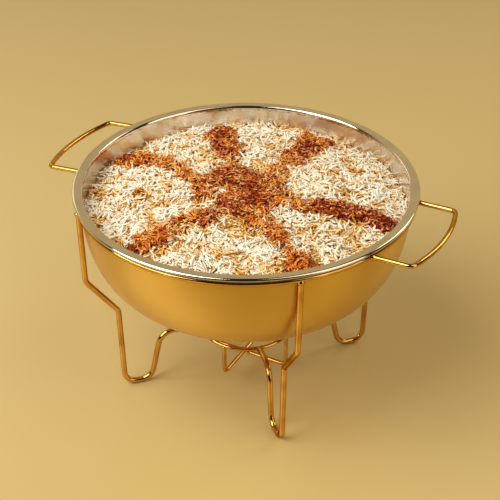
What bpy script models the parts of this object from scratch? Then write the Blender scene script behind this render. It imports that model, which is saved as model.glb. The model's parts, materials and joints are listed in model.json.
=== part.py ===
"""Rice with fried onions in a serving bowl, held in its wire stand.

Blender 4.5, metres, +Z up. The origin is on the floor under the middle of the
bowl, and +X runs along the two handles.
"""

import math

import bmesh
import bpy
from mathutils import Vector

GAP = 0.0003                    # between pieces that touch
LEG_TOP_GAP = 0.00045           # the ring is faceted, so its underside wavers

# Bowl: a double wall, made solid here, with a flat flange and a rolled bead.
RIM_RADIUS = 0.180
RIM_HEIGHT = 0.2397
SHEET = 0.0015
WALL_THICKNESS = 0.0031
WALL_RADIUS = 0.1726            # outside of the wall, under the flange
WALL_TOP = 0.2349               # where the curved wall becomes upright
WALL_DEPTH = 0.1249             # from there to the lowest point
WALL_ROUNDNESS = (3.65, 2.62)   # superellipse exponents, across and down
BEAD_RADIUS = 0.0023
FLANGE_BEND = 0.0012
BOWL_SECTORS = 48
WALL_KNOTS = 11

# Rice: fills the bowl to a little under the rim, flat on top with a shoulder to the wall.
RICE_EDGE = 0.2143
RICE_RISE = 0.0190
RICE_SHOULDER = 4               # how sharply the top falls to the wall
RICE_WAVE = 0.0009
RICE_WAVES = 3
RICE_RINGS = 10

# Fried onions: six arms of shreds laid on the rice from a heaped middle.
ARM_ANGLES = (6, 83, 131, 178, 250, 320)
ARM_LENGTHS = (0.160, 0.151, 0.140, 0.159, 0.163, 0.154)
ARM_HALF_WIDTH = 0.0125
ARM_STATIONS = (0.30, 0.50, 0.72, 0.92)
ONION_SEAT = 0.0010             # over the facets of the rice
ONION_MIDDLE = 0.0054           # thickness of the heap in the middle
ONION_EDGE = 0.0012
ONION_RINGS = 9

# Stand: bent and welded wire.
RING_RADIUS = 0.1763            # tucked in a little under the bead
RING_WIRE = 0.0050
RING_SIDES = 48
HANDLE_WIRE = 0.0050
HANDLE_HALF_WIDTH = 0.057
HANDLE_CORNER_X = 0.2095
HANDLE_BOW_X = 0.2192
HANDLE_CORNER_BEND = 0.007
HANDLE_RISES = {"handle_right": 0.0018, "handle_left": -0.0050}
HANDLE_STEPS = 8
LEG_WIRE = 0.0060
LEG_ANGLES = (45, 135, 225, 315)
LEG_SHOULDER = (0.1752, 0.1459)  # radius and height of each bend's corner
LEG_ELBOW = (0.1428, 0.1023)
FOOT_OUTER = 0.1404
FOOT_INNER = 0.1107
LEG_CREST = (0.0967, 0.0672)
LEG_BENDS = (0.014, 0.009, 0.0133, 0.0150, 0.018)
LEG_SWAYS = {"leg_4": (0.0020, 0.0010, -0.0018, -0.0022, -0.0045, -0.0028, 0.0)}  # bent sideways
BURNER_RADIUS = 0.0496
BURNER_HEIGHT = 0.0569
BURNER_WIRE = 0.0042
BURNER_SIDES = 28
CRADLE_WIRE = 0.0044
CRADLE_RADIUS = 0.0500
CRADLE_LOWEST = 0.0155
CRADLE_BEND = 0.006

BEND_STEP = math.radians(18)    # longest turn between two points of a bend
CREASE = math.radians(40)       # edges sharper than this stay sharp in shading
MERGE = 1e-6

# Colour, roughness and metallic value of each finish.
GOLD = ((0.76, 0.53, 0.17), 0.25, 1.0)
POLISHED_GOLD = ((0.83, 0.60, 0.24), 0.12, 1.0)
WHITE_RICE = ((0.90, 0.84, 0.70), 0.6, 0.0)
FRIED_ONION = ((0.52, 0.17, 0.04), 0.5, 0.0)


def finish(name, colour, roughness, metallic):
    """Return a Principled material."""
    material = bpy.data.materials.new(name)
    material.use_nodes = True
    shader = material.node_tree.nodes["Principled BSDF"]
    shader.inputs["Base Color"].default_value = (*colour, 1)
    shader.inputs["Roughness"].default_value = roughness
    shader.inputs["Metallic"].default_value = metallic
    return material


def add_object(name, data, look):
    """Link mesh or curve data as a named object with its own material."""
    body = bpy.data.objects.new(name, data)
    bpy.context.scene.collection.objects.link(body)
    data.materials.append(finish(name, *look))
    return body


def add_solid(name, bm, look):
    """Turn a closed bmesh into a smooth-shaded object."""
    bmesh.ops.recalc_face_normals(bm, faces=bm.faces)
    mesh = bpy.data.meshes.new(name)
    bm.to_mesh(mesh)
    bm.free()
    mesh.shade_smooth()
    mesh.set_sharp_from_angle(angle=CREASE)
    return add_object(name, mesh, look)


def turned(profile):
    """Spin an (r, z) profile that starts and ends on the axis into a closed bmesh."""
    bm = bmesh.new()
    points = [bm.verts.new((r, 0, z)) for r, z in profile]
    edges = [bm.edges.new(pair) for pair in zip(points, points[1:])]
    bmesh.ops.spin(bm, geom=points + edges, cent=(0, 0, 0), axis=(0, 0, 1),
                   angle=math.tau, steps=BOWL_SECTORS, use_merge=True)
    bmesh.ops.remove_doubles(bm, verts=bm.verts, dist=MERGE)
    return bm


def offset(profile, distance):
    """Move a profile that runs out and up from the axis to its left, inside the bowl."""
    moved = [(0.0, profile[0][1] + distance)]
    for before, here, after in zip(profile, profile[1:], profile[2:] + [None]):
        runs = [Vector(here) - Vector(before)]
        if after:
            runs.append(Vector(after) - Vector(here))
        normals = [Vector((-run.y, run.x)).normalized() for run in runs]
        mitre = sum(normals, Vector((0, 0))).normalized()
        moved.append(tuple(Vector(here) + mitre * distance / mitre.dot(normals[0])))
    return moved


def outer_wall():
    """Return the outside of the bowl's wall, from its lowest point up to the flange."""
    across, down = WALL_ROUNDNESS
    wall = [(0.0, WALL_TOP - WALL_DEPTH)]
    for knot in range(1, WALL_KNOTS):
        turn = math.pi / 2 * (1 - knot / WALL_KNOTS)
        wall.append((WALL_RADIUS * math.cos(turn) ** (2 / across),
                     WALL_TOP - WALL_DEPTH * math.sin(turn) ** (2 / down)))
    wall.append((WALL_RADIUS, WALL_TOP))
    return wall


def make_bowl():
    """Make the bowl with its flange and bead."""
    wall = outer_wall()
    under = RIM_HEIGHT - SHEET
    bead_r = RIM_RADIUS - BEAD_RADIUS
    bead_z = RIM_HEIGHT - BEAD_RADIUS
    bead = [(bead_r + BEAD_RADIUS * math.cos(math.radians(turn)),
             bead_z + BEAD_RADIUS * math.sin(math.radians(turn)))
            for turn in range(-135, 91, 45)]
    flange = [(WALL_RADIUS, under - FLANGE_BEND), (WALL_RADIUS + FLANGE_BEND, under),
              (bead_r - BEAD_RADIUS, under)]
    inner_r = WALL_RADIUS - WALL_THICKNESS
    lip = [(inner_r + FLANGE_BEND, RIM_HEIGHT), (inner_r, RIM_HEIGHT - FLANGE_BEND)]
    inside = offset(wall, WALL_THICKNESS)[::-1]
    add_solid("bowl", turned(wall + flange + bead + lip + inside), GOLD)


def rice_height(x, y):
    """Return the height of the rice at a place: a broad dome with a slow wave at its edge."""
    reach = math.hypot(x, y) / (WALL_RADIUS - WALL_THICKNESS)
    wave = RICE_WAVE * math.cos(RICE_WAVES * math.atan2(y, x))
    return RICE_EDGE + RICE_RISE * (1 - reach ** RICE_SHOULDER) + wave * reach ** 2


def make_rice():
    """Make the rice as one body that fills the bowl."""
    under = offset(outer_wall(), WALL_THICKNESS + GAP)
    sunk = [point for point in under if point[1] < RICE_EDGE - 2 * RICE_WAVE]
    (r_low, z_low), (r_high, z_high) = sunk[-1], under[len(sunk)]
    slope = (r_high - r_low) / (z_high - z_low)
    edge_r = r_low + slope * (RICE_EDGE - z_low)
    top = [(edge_r * (1 - ring / RICE_RINGS), RICE_EDGE) for ring in range(RICE_RINGS + 1)]
    bm = turned(sunk + top)
    for vert in bm.verts:
        if vert.co.z > RICE_EDGE - RICE_WAVE:
            vert.co.z = rice_height(vert.co.x, vert.co.y)
            reach = math.hypot(vert.co.x, vert.co.y)
            if reach > edge_r - GAP:
                vert.co.xy *= (r_low + slope * (vert.co.z - z_low)) / reach
    add_solid("rice", bm, WHITE_RICE)


def star_outline():
    """Return the onions' outline, anticlockwise, as parallel-sided arms with round tips."""
    outline = []
    for angle, length in zip(ARM_ANGLES, ARM_LENGTHS):
        sides = [(station * length, ARM_HALF_WIDTH) for station in ARM_STATIONS]
        arm = [(along, -half) for along, half in sides] + [(length, 0)] + sides[::-1]
        turn = math.radians(angle)
        outline += [(along * math.cos(turn) - half * math.sin(turn),
                     along * math.sin(turn) + half * math.cos(turn)) for along, half in arm]
    return outline


def make_onions():
    """Make the star of fried onions, which follows the rice and thins to its edges."""
    outline = star_outline()
    bm = bmesh.new()
    surfaces = []
    for thickness, edge in ((0, 0), (ONION_MIDDLE, ONION_EDGE)):
        middle = bm.verts.new((0, 0, rice_height(0, 0) + ONION_SEAT + thickness))
        rings = []
        for ring in range(1, ONION_RINGS + 1):
            reach = ring / ONION_RINGS
            lift = ONION_SEAT + edge + (thickness - edge) * (1 - reach ** 3)
            rings.append([bm.verts.new((x * reach, y * reach,
                                        rice_height(x * reach, y * reach) + lift))
                          for x, y in outline])
        surfaces.append((middle, rings))
    count = len(outline)
    for middle, rings in surfaces:
        for i in range(count):
            j = (i + 1) % count
            bm.faces.new((middle, rings[0][i], rings[0][j]))
            for inner, outer in zip(rings, rings[1:]):
                bm.faces.new((inner[i], outer[i], outer[j]))
                bm.faces.new((inner[i], outer[j], inner[j]))
    below, above = (rings[-1] for _, rings in surfaces)
    for i in range(count):
        j = (i + 1) % count
        bm.faces.new((below[i], below[j], above[j], above[i]))
    add_solid("fried_onions", bm, FRIED_ONION)


def bent(corners, bends):
    """Return a path through the corners, with an arc of the given radius at each bend."""
    points = [Vector(corner) for corner in corners]
    path = [points[0]]
    for before, here, after, radius in zip(points, points[1:], points[2:], bends):
        back = (before - here).normalized()
        on = (after - here).normalized()
        inside_angle = back.angle(on)
        centre = here + (back + on).normalized() * radius / math.sin(inside_angle / 2)
        start = (here + back * radius / math.tan(inside_angle / 2) - centre).normalized()
        end = (here + on * radius / math.tan(inside_angle / 2) - centre).normalized()
        steps = max(2, math.ceil((math.pi - inside_angle) / BEND_STEP))
        path += [centre + radius * start.slerp(end, step / steps) for step in range(steps + 1)]
    path.append(points[-1])
    return path


def wire(name, path, diameter, closed=False):
    """Make a round wire along a path, with flat ends unless it is closed."""
    curve = bpy.data.curves.new(name, "CURVE")
    curve.dimensions = "3D"
    curve.bevel_depth = diameter / 2
    curve.bevel_resolution = 2
    curve.use_fill_caps = not closed
    spline = curve.splines.new("POLY")
    spline.points.add(len(path) - 1)
    for point, place in zip(spline.points, path):
        point.co = (*place, 1)
    spline.use_cyclic_u = closed
    return add_object(name, curve, POLISHED_GOLD)


def ring_path(radius, height, count):
    """Return points round a level ring."""
    return [(radius * math.cos(math.tau * i / count), radius * math.sin(math.tau * i / count),
             height) for i in range(count)]


def ring_height():
    """Return the height of the stand ring, which carries the bowl's bead."""
    return RIM_HEIGHT - 2 * BEAD_RADIUS - GAP - RING_WIRE / 2


def make_rings():
    """Make the ring that carries the bowl and the ring that takes the burner."""
    wire("stand_ring", ring_path(RING_RADIUS, ring_height(), RING_SIDES), RING_WIRE, True)
    wire("burner_ring", ring_path(BURNER_RADIUS, BURNER_HEIGHT, BURNER_SIDES), BURNER_WIRE,
         True)


def make_handle(name, side):
    """Make a handle: two straight runs out from the ring and a bowed bar between them."""
    near = HANDLE_HALF_WIDTH - HANDLE_WIRE / 2
    root_x = math.sqrt((RING_RADIUS + RING_WIRE / 2) ** 2 - near ** 2) + GAP
    bow = HANDLE_BOW_X - HANDLE_CORNER_X
    arc_radius = (HANDLE_HALF_WIDTH ** 2 + bow ** 2) / (2 * bow)
    half_turn = math.asin(HANDLE_HALF_WIDTH / arc_radius)
    plan = [(root_x, -HANDLE_HALF_WIDTH)]
    for step in range(HANDLE_STEPS + 1):
        turn = half_turn * (2 * step / HANDLE_STEPS - 1)
        plan.append((HANDLE_BOW_X - arc_radius * (1 - math.cos(turn)),
                     arc_radius * math.sin(turn)))
    plan.append((root_x, HANDLE_HALF_WIDTH))
    climb = HANDLE_RISES[name] / (HANDLE_BOW_X - root_x)
    corners = [(side * x, y, ring_height() + climb * (x - root_x)) for x, y in plan]
    first = bent(corners[:3], [HANDLE_CORNER_BEND])
    last = bent(corners[-3:], [HANDLE_CORNER_BEND])
    path = first[:-1] + [Vector(corner) for corner in corners[2:-2]] + last[1:]
    wire(name, path, HANDLE_WIRE)


def make_leg(name, angle):
    """Make a leg: down from the ring, round a foot and back up to the burner ring."""
    top = (RING_RADIUS, ring_height() - RING_WIRE / 2 - LEG_TOP_GAP)
    foot_height = LEG_WIRE / 2
    end = (BURNER_RADIUS + BURNER_WIRE / 2 + GAP, BURNER_HEIGHT)
    profile = (top, LEG_SHOULDER, LEG_ELBOW, (FOOT_OUTER, foot_height),
               (FOOT_INNER, foot_height), LEG_CREST, end)
    turn = math.radians(angle)
    sways = LEG_SWAYS.get(name, (0.0,) * len(profile))
    corners = [(r * math.cos(turn) - sway * math.sin(turn),
                r * math.sin(turn) + sway * math.cos(turn), z)
               for (r, z), sway in zip(profile, sways)]
    wire(name, bent(corners, LEG_BENDS), LEG_WIRE)


def make_cradle(name, lowest, along_x):
    """Make one of the two crossed wires that carry the burner under its ring."""
    top = BURNER_HEIGHT - BURNER_WIRE / 2 - GAP
    profile = ((-CRADLE_RADIUS, top), (-CRADLE_RADIUS, lowest), (CRADLE_RADIUS, lowest),
               (CRADLE_RADIUS, top))
    corners = [(s, 0, z) if along_x else (0, s, z) for s, z in profile]
    wire(name, bent(corners, (CRADLE_BEND, CRADLE_BEND)), CRADLE_WIRE)


def main():
    """Clear the scene and make every piece."""
    for old in list(bpy.data.objects):
        bpy.data.objects.remove(old)
    make_bowl()
    make_rice()
    make_onions()
    make_rings()
    make_handle("handle_right", 1)
    make_handle("handle_left", -1)
    for number, angle in enumerate(LEG_ANGLES, 1):
        make_leg(f"leg_{number}", angle)
    make_cradle("cradle_lower", CRADLE_LOWEST, True)
    make_cradle("cradle_upper", CRADLE_LOWEST + CRADLE_WIRE + GAP, False)


main()
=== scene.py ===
"""Long-grain rice with a star of fried onions, in a gold-coated bowl on its wire stand.

Metres, +Z up. The origin is on the floor under the middle of the bowl, and +X runs
along the two handles.
"""

import json
import logging
import math
from dataclasses import dataclass, field
from enum import Enum, IntEnum
from random import Random
from typing import Callable, Sequence

import bmesh
import bpy
import numpy as np
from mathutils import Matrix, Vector, noise

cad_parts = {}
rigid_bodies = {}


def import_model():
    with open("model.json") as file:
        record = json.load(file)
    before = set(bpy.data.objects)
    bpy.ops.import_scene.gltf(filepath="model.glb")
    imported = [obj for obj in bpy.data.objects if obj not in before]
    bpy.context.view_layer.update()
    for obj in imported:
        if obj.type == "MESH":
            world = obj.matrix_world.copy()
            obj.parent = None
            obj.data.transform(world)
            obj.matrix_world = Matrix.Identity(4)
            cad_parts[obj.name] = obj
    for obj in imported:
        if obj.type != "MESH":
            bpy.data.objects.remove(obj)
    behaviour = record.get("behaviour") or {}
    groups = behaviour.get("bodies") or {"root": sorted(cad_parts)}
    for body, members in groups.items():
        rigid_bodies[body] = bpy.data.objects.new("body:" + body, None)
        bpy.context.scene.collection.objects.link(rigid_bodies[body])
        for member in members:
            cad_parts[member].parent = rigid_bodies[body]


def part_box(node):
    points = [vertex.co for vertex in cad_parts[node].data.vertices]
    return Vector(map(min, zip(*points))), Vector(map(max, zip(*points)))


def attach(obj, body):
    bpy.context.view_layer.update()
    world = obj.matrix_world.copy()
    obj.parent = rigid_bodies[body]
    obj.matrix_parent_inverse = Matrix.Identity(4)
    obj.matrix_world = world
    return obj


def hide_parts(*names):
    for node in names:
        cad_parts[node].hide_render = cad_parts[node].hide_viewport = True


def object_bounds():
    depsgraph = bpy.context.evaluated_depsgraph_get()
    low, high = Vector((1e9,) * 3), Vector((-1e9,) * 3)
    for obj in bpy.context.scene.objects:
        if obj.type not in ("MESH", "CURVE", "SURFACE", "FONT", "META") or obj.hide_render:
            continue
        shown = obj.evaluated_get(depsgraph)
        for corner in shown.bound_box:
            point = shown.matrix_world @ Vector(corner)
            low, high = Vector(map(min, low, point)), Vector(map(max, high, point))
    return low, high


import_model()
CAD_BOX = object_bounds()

LOG = logging.getLogger("rice_bowl")
BODY = "root"
MILLI = 0.001
HAIR = 0.0004                   # the least gap left between two surfaces or two points
LUMPY_CREASE = 80               # degrees, for what is lumpy all over
Colour = tuple[float, float, float]
Vector3 = tuple[float, float, float]
Profile = list[tuple[float, float]]


# ---------------------------------------------------------------- node benches


def operator(operation: str, swapped: bool = False) -> Callable:
    """Return the method behind one sign of arithmetic; swapped puts the other value first."""
    def method(self: "Val", other: "Val | float") -> "Val":
        """Return the result as a new value."""
        return self.math(operation, *((other, self) if swapped else (self, other)))
    return method


class Val:
    """A value that flows between nodes: one output socket, with arithmetic."""

    def __init__(self, bench: "Bench", socket: bpy.types.NodeSocket) -> None:
        """Keep the socket and the bench that its arithmetic adds nodes to."""
        self.bench = bench
        self.socket = socket

    def math(self, operation: str, first: "Val | float", second: "Val | float") -> "Val":
        """Add one Math node and return its result."""
        return self.bench.node("ShaderNodeMath", {"operation": operation}, {0: first, 1: second})

    __add__, __radd__ = operator("ADD"), operator("ADD", swapped=True)
    __sub__, __rsub__ = operator("SUBTRACT"), operator("SUBTRACT", swapped=True)
    __mul__, __rmul__ = operator("MULTIPLY"), operator("MULTIPLY", swapped=True)
    __pow__ = operator("POWER")

    def above(self, limit: "Val | float") -> "Val":
        """Return 1 where self is over the limit, else 0."""
        return self.math("GREATER_THAN", self, limit)

    def below(self, limit: "Val | float") -> "Val":
        """Return 1 where self is under the limit, else 0."""
        return self.math("LESS_THAN", self, limit)

    def ease(self, low: float, high: float) -> "Val":
        """Return a smooth step from 0 at low to 1 at high."""
        return self.bench.node("ShaderNodeMapRange", {"interpolation_type": "SMOOTHSTEP"},
                               {0: self, 1: low, 2: high})


class Bench:
    """A node tree under construction."""

    def __init__(self, tree: bpy.types.NodeTree) -> None:
        """Start on an existing tree."""
        self.tree = tree

    @staticmethod
    def find(sockets: bpy.types.bpy_prop_collection, key: int | str) -> bpy.types.NodeSocket:
        """Return a live socket by its place, name or identifier.

        Args:
            sockets: A node's inputs or outputs.
            key: The socket's place among the live ones, or its name or identifier.

        Returns:
            The socket.
        """
        live = [socket for socket in sockets if socket.enabled]
        if isinstance(key, int):
            return live[key]
        return next(socket for socket in live if key in (socket.identifier, socket.name))

    def node(self, kind: str, settings: dict | None = None, values: dict | None = None,
             out: int | str = 0) -> Val:
        """Add a node.

        Args:
            kind: The node's type name.
            settings: Its properties; "stops" is a colour ramp's list of (place, colour).
            values: What goes to its inputs, as constants or Val, by place or name.
            out: The output to return.

        Returns:
            The chosen output.
        """
        made = self.tree.nodes.new(kind)
        for name, setting in (settings or {}).items():
            if name == "stops":
                self._set_stops(made.color_ramp, setting)
            else:
                setattr(made, name, setting)
        for key, value in (values or {}).items():
            socket = self.find(made.inputs, key)
            if isinstance(value, Val):
                self.tree.links.new(value.socket, socket)
            else:
                socket.default_value = value
        return Val(self, self.find(made.outputs, out))

    @staticmethod
    def _set_stops(ramp: bpy.types.ColorRamp, stops: Sequence[tuple[float, Colour]]) -> None:
        """Give a colour ramp its stops, in rising order."""
        ramp.elements[0].position = stops[0][0]
        ramp.elements[-1].position = stops[-1][0]
        for place, _ in stops[1:-1]:
            ramp.elements.new(place)
        for element, (_, colour) in zip(ramp.elements, stops):
            element.color = (*colour, 1)


class Paint(Bench):
    """A material's nodes, which end in its Principled shader."""

    def __init__(self, name: str, **constants: float | tuple) -> None:
        """Make the material.

        Args:
            name: The material's name.
            constants: Values that are the same all over, by socket name with _ for a space.
        """
        self.material = bpy.data.materials.new(name)
        self.material.use_nodes = True
        super().__init__(self.material.node_tree)
        self.shader = self.tree.nodes["Principled BSDF"]
        for key, value in constants.items():
            self.shader.inputs[key.replace("_", " ")].default_value = value
        self.place = self.node("ShaderNodeTexCoord", out="Object")

    def feed(self, **varying: Val) -> None:
        """Link values that vary over the surface to the shader's sockets."""
        for key, value in varying.items():
            self.tree.links.new(value.socket, self.shader.inputs[key.replace("_", " ")])

    def noise(self, scale: float, detail: float = 2.0, place: Val | None = None) -> Val:
        """Return a noise of so many lumps per metre."""
        return self.node("ShaderNodeTexNoise", None,
                         {"Vector": place or self.place, "Scale": scale, "Detail": detail})

    def ramp(self, factor: Val, stops: Sequence[tuple[float, Colour]]) -> Val:
        """Return a colour from a ramp."""
        return self.node("ShaderNodeValToRGB", {"stops": stops}, {0: factor})

    def blend(self, factor: Val, first: Val | Colour, second: Val | Colour) -> Val:
        """Return a mix of two colours."""
        ends = [end if isinstance(end, Val) else (*end, 1) for end in (first, second)]
        return self.node("ShaderNodeMix", {"data_type": "RGBA"}, {0: factor, 1: ends[0], 2: ends[1]})

    def own(self, name: str) -> Val:
        """Return the piece's own attribute as a number."""
        return self.node("ShaderNodeAttribute", {"attribute_name": name}, out="Fac")

    def lathe_marks(self, along: float = 12.0, up: float = 900.0) -> Val:
        """Return fine marks round a turned wall, from how many per metre there are each way."""
        place = self.node("ShaderNodeVectorMath", {"operation": "MULTIPLY"},
                          {0: self.place, 1: (along, along, up)})
        return self.noise(1.0, 3.0, place)

    def tone_with_painted_shade(self, underside: float) -> Val:
        """Return a piece's own tone with painted shade: lower on its underside and higher on its
        top, by a share.
        """
        return self.own("tone") + (0.3 - self.own("belly")) * underside

    def bump(self, height: Val, distance: float, strength: float = 1.0) -> Val:
        """Return the normal of a relief so many metres deep."""
        return self.node("ShaderNodeBump", None,
                         {"Height": height, "Distance": distance, "Strength": strength})


class Recipe(Bench):
    """A Geometry Nodes tree with named inputs."""

    def __init__(self, name: str) -> None:
        """Start a tree with one geometry in and one out."""
        super().__init__(bpy.data.node_groups.new(name, "GeometryNodeTree"))
        for way in ("INPUT", "OUTPUT"):
            self.tree.interface.new_socket("Geometry", in_out=way,
                                           socket_type="NodeSocketGeometry")
        self.start = self.tree.nodes.new("NodeGroupInput")
        self.end = self.tree.nodes.new("NodeGroupOutput")
        self.geometry = Val(self, self.start.outputs[0])
        self.names: dict[str, str] = {}

    def ask(self, name: str, kind: str) -> Val:
        """Add a named input.

        Args:
            name: The input's name.
            kind: Float, Int, Material or Collection.

        Returns:
            The input's value inside the tree.
        """
        item = self.tree.interface.new_socket(name, in_out="INPUT",
                                              socket_type="NodeSocket" + kind)
        self.names[name] = item.identifier
        return Val(self, self.start.outputs[name])

    def random(self, low: Val | float, high: Val | float, seed: Val) -> Val:
        """Return a random number for each element."""
        return self.node("FunctionNodeRandomValue", {"data_type": "FLOAT"},
                         {"Min": low, "Max": high, "Seed": seed})

    def own(self, name: str, kind: str = "FLOAT") -> Val:
        """Return one of the geometry's own attributes."""
        return self.node("GeometryNodeInputNamedAttribute", {"data_type": kind}, {"Name": name})

    def mark(self, geometry: Val, name: str, value: Val, kind: str = "FLOAT",
             domain: str = "POINT") -> Val:
        """Return the geometry with a value stored as its own attribute."""
        return self.node("GeometryNodeStoreNamedAttribute", {"data_type": kind, "domain": domain},
                         {"Geometry": geometry, "Name": name, "Value": value})

    def serve(self, geometry: Val, material: Val) -> None:
        """End the tree: realise instances, shade smooth and set the material."""
        real = self.node("GeometryNodeRealizeInstances", None, {0: geometry})
        smooth = self.node("GeometryNodeSetShadeSmooth", None, {0: real})
        done = self.node("GeometryNodeSetMaterial", None, {0: smooth, "Material": material})
        self.tree.links.new(done.socket, self.end.inputs[0])

    def cook(self, name: str, data: bpy.types.Mesh, **values: object) -> bpy.types.Object:
        """Run the tree on a mesh and keep the result as a plain mesh.

        Args:
            name: The finished piece's name.
            data: The mesh that goes in; it is used up.
            values: The named inputs, with _ for a space.

        Returns:
            The piece.
        """
        base = add_piece(name + "_base", data)
        modifier = base.modifiers.new("recipe", "NODES")
        modifier.node_group = self.tree
        for key, value in values.items():
            modifier[self.names[key.replace("_", " ")]] = value
        graph = bpy.context.evaluated_depsgraph_get()
        mesh = bpy.data.meshes.new_from_object(base.evaluated_get(graph),
                                               preserve_all_data_layers=True, depsgraph=graph)
        base.modifiers.remove(modifier)
        bpy.data.objects.remove(base)
        bpy.data.meshes.remove(data)
        return add_piece(name, mesh)


# ---------------------------------------------------------------- mesh helpers


def add_piece(name: str, mesh: bpy.types.Mesh) -> bpy.types.Object:
    """Link a mesh to the scene as an object at the origin."""
    mesh.name = name
    piece = bpy.data.objects.new(name, mesh)
    bpy.context.scene.collection.objects.link(piece)
    return piece


def new_mesh(verts: Sequence, faces: Sequence, edges: Sequence = ()) -> bpy.types.Mesh:
    """Return a mesh from plain lists."""
    mesh = bpy.data.meshes.new("mesh")
    mesh.from_pydata(verts, edges, faces)
    mesh.update()
    return mesh


def read_points(mesh: bpy.types.Mesh) -> np.ndarray:
    """Return a mesh's points as an array of rows."""
    flat = np.empty(len(mesh.vertices) * 3, np.float32)
    mesh.vertices.foreach_get("co", flat)
    return flat.reshape(-1, 3)


def write_points(mesh: bpy.types.Mesh, points: np.ndarray) -> None:
    """Put an array of rows back as a mesh's points."""
    mesh.vertices.foreach_set("co", points.astype(np.float32).ravel())
    mesh.update()


def mark_points(mesh: bpy.types.Mesh, **marks: np.ndarray | Sequence[float]) -> None:
    """Give a mesh's points attributes of their own, one number a point."""
    for name, values in marks.items():
        mesh.attributes.new(name, "FLOAT", "POINT").data.foreach_set(
            "value", np.asarray(values, np.float32))


def arc(centre: tuple[float, float], radius: float, start: float, end: float,
        steps: int) -> Profile:
    """Return points along an arc, with its angles in degrees."""
    turns = [math.radians(start + (end - start) * i / steps) for i in range(steps + 1)]
    return [(centre[0] + radius * math.cos(t), centre[1] + radius * math.sin(t))
            for t in turns]


def inward(profile: Profile, distance: float) -> Profile:
    """Return a profile that runs out and up from the axis, moved to its left."""
    points = np.array(profile)
    run = np.gradient(points, axis=0)
    normal = np.stack([-run[:, 1], run[:, 0]], 1)
    normal /= np.linalg.norm(normal, axis=1)[:, None]
    moved = points + normal * distance
    moved[0] = (0.0, points[0, 1] + distance)
    return [tuple(point) for point in moved.tolist()]


def ring(radius: float, height: float, sectors: int) -> list[Vector3]:
    """Return points round the axis at one height."""
    turns = [math.tau * i / sectors for i in range(sectors)]
    return [(radius * math.cos(turn), radius * math.sin(turn), height) for turn in turns]


def skin(sectors: int, rings: int, inside_out: bool = False,
         closed: bool = True) -> list[tuple[int, ...]]:
    """Return the faces over a first tip, rings of points and a last tip.

    Args:
        sectors: How many points each ring has.
        rings: How many rings there are.
        inside_out: Whether the faces turn the other way.
        closed: Whether there is a last tip; without it the last ring is open.

    Returns:
        The faces, sector by sector.
    """
    faces = []
    last = 1 + (rings - 1) * sectors
    for i in range(sectors):
        j = (i + 1) % sectors
        faces.append((0, 1 + j, 1 + i))
        for low in range(1, last, sectors):
            high = low + sectors
            faces.append((low + i, low + j, high + j, high + i))
        if closed:
            faces.append((last + i, last + j, last + sectors))
    return [(face[0], *face[:0:-1]) for face in faces] if inside_out else faces


def turned(profile: Profile, sectors: int) -> bpy.types.Mesh:
    """Spin an (r, z) profile that starts and ends on the axis.

    Args:
        profile: The outline, outer side first from the bottom up, so that faces point out.
        sectors: How many sectors the turn has.

    Returns:
        A closed mesh.
    """
    verts = [(0.0, 0.0, profile[0][1])]
    for r, z in profile[1:-1]:
        verts += ring(r, z, sectors)
    verts.append((0.0, 0.0, profile[-1][1]))
    return new_mesh(verts, skin(sectors, len(profile) - 2))


def smooth(mesh: bpy.types.Mesh, crease: float = 45) -> None:
    """Shade a mesh smooth, with sharp edges where it turns more than the crease in degrees."""
    mesh.shade_smooth()
    mesh.set_sharp_from_angle(angle=math.radians(crease))


class Slot(Enum):
    """The record's material slots."""

    BOWL_GOLD = "bowl_gold"
    BOWL_STEEL = "bowl_steel"
    WIRE_GOLD = "wire_gold"
    RICE = "rice"
    ONIONS = "fried_onions"


def install(piece: bpy.types.Object, nodes: Sequence[str]) -> None:
    """Put a finished piece in the place of CAD nodes.

    Args:
        piece: The finished mesh object.
        nodes: The CAD nodes that it stands for.
    """
    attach(piece, BODY)
    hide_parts(*nodes)
    triangles = sum(len(face.vertices) - 2 for face in piece.data.polygons)
    LOG.info("%s: %d triangles for %s", piece.name, triangles, ", ".join(nodes))


# ---------------------------------------------------------------- finishes


@dataclass(frozen=True)
class SatinGold:
    """Gold coat on the outside of the bowl: soft reflections, faint turning marks."""

    colour: Colour = (0.71, 0.44, 0.08)
    deep: Colour = (0.65, 0.38, 0.055)
    edge: Colour = (0.95, 0.85, 0.65)
    sheen: Colour = (1.0, 0.93, 0.55)
    least_rough: float = 0.24

    def material(self) -> bpy.types.Material:
        """Return the finish as a material."""
        paint = Paint("satin_gold", Metallic=1.0, Anisotropic=0.75, Anisotropic_Rotation=0.25,
                      Specular_Tint=(*self.edge, 1), Sheen_Weight=0.25, Sheen_Roughness=0.6,
                      Sheen_Tint=(*self.sheen, 1))
        clouds = paint.noise(9.0, 3.0)
        paint.feed(Base_Color=paint.blend(clouds.ease(0.35, 0.7), self.deep, self.colour),
                   Roughness=self.least_rough + 0.08 * paint.lathe_marks() + 0.04 * clouds)
        return paint.material


@dataclass(frozen=True)
class BrightGold:
    """Bright gold plate on drawn wire."""

    colour: Colour = (0.74, 0.44, 0.12)
    worn: Colour = (0.54, 0.27, 0.055)
    edge: Colour = (0.48, 0.30, 0.12)

    def material(self) -> bpy.types.Material:
        """Return the finish as a material."""
        paint = Paint("bright_gold", Metallic=1.0, Specular_Tint=(*self.edge, 1))
        patches = paint.noise(40.0, 2.0).ease(0.35, 0.75)
        paint.feed(Base_Color=paint.blend(patches, self.colour, self.worn),
                   Roughness=0.04 + 0.08 * paint.noise(220.0, 2.0),
                   Normal=paint.bump(paint.noise(260.0, 1.0), 0.00005, 0.5))
        return paint.material


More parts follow.
